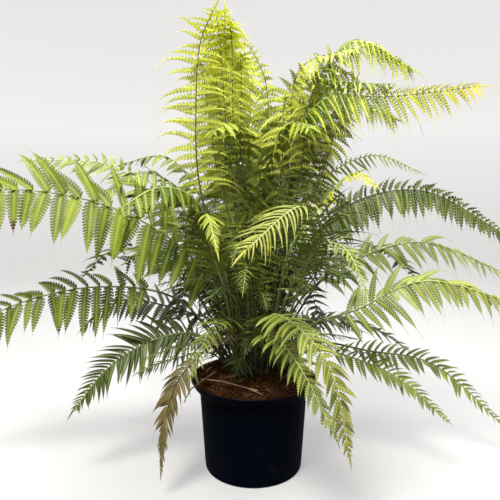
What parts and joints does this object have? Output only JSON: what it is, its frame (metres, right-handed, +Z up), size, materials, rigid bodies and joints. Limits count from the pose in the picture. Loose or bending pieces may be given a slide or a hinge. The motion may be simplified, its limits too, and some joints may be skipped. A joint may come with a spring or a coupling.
{
  "type": "potted fern",
  "caption": "Bushy fern with arching feathery fronds standing in a mound of coir in a round dark nursery pot.",
  "frame": {"origin": "centre of the pot's flat base, on the surface that it stands on", "axes": "+Z up the plant, -Y towards its front, +X to its right seen from the front"},
  "size_m": [0.9779, 0.5773, 0.73],
  "materials": {
    "pot_plastic": "satin blue-black plastic, slightly scuffed",
    "coir": "matt, fibrous and crumbly",
    "rootstock": "matt, scaly",
    "leaf_lime": "satin, yellow-green young leaf",
    "leaf_green": "satin, mid-green leaf",
    "leaf_pale": "satin, pale green leaf",
    "leaf_olive": "satin, olive leaf",
    "leaf_dark": "satin, dark green leaf",
    "leaf_brown": "dry, brown-olive leaf"
  },
  "bodies": {
    "root": {"pot": "pot_plastic", "soil": "coir", "rootstock": "rootstock", "frond_crest_left": "leaf_lime", "frond_crest_middle": "leaf_lime", "frond_crest_back": "leaf_lime", "frond_crest_right": "leaf_lime", "frond_spire_right": "leaf_lime", "frond_arm_right": "leaf_lime", "frond_arm_back": "leaf_lime", "frond_inner_right": "leaf_green", "frond_inner_centre": "leaf_green", "frond_inner_middle": "leaf_green", "frond_inner_left": "leaf_green", "frond_bough_left": "leaf_green", "frond_right_high": "leaf_pale", "frond_right_front": "leaf_lime", "frond_right_wide": "leaf_olive", "frond_right_middle": "leaf_pale", "frond_right_low": "leaf_pale", "frond_right_skirt": "leaf_dark", "frond_floor_right_front": "leaf_green", "frond_floor_right_back": "leaf_green", "frond_front_right": "leaf_pale", "frond_front_right_low": "leaf_pale", "frond_front_middle": "leaf_pale", "frond_front_right_high": "leaf_pale", "frond_front_left_high": "leaf_green", "frond_front_low": "leaf_olive", "frond_left_wide": "leaf_green", "frond_left_high": "leaf_pale", "frond_left_front": "leaf_green", "frond_left_low": "leaf_green", "frond_left_skirt": "leaf_dark", "frond_floor_left": "leaf_olive", "frond_spent_left": "leaf_brown", "frond_heart_left": "leaf_dark", "frond_heart_right": "leaf_dark", "frond_heart_front": "leaf_olive", "frond_back_left": "leaf_dark", "frond_back_right": "leaf_dark", "frond_back_middle": "leaf_green", "frond_back_wide_left": "leaf_green", "frond_back_wide_right": "leaf_green", "frond_back_low_left": "leaf_dark", "frond_back_low_right": "leaf_dark"}
  },
  "joints": []
}
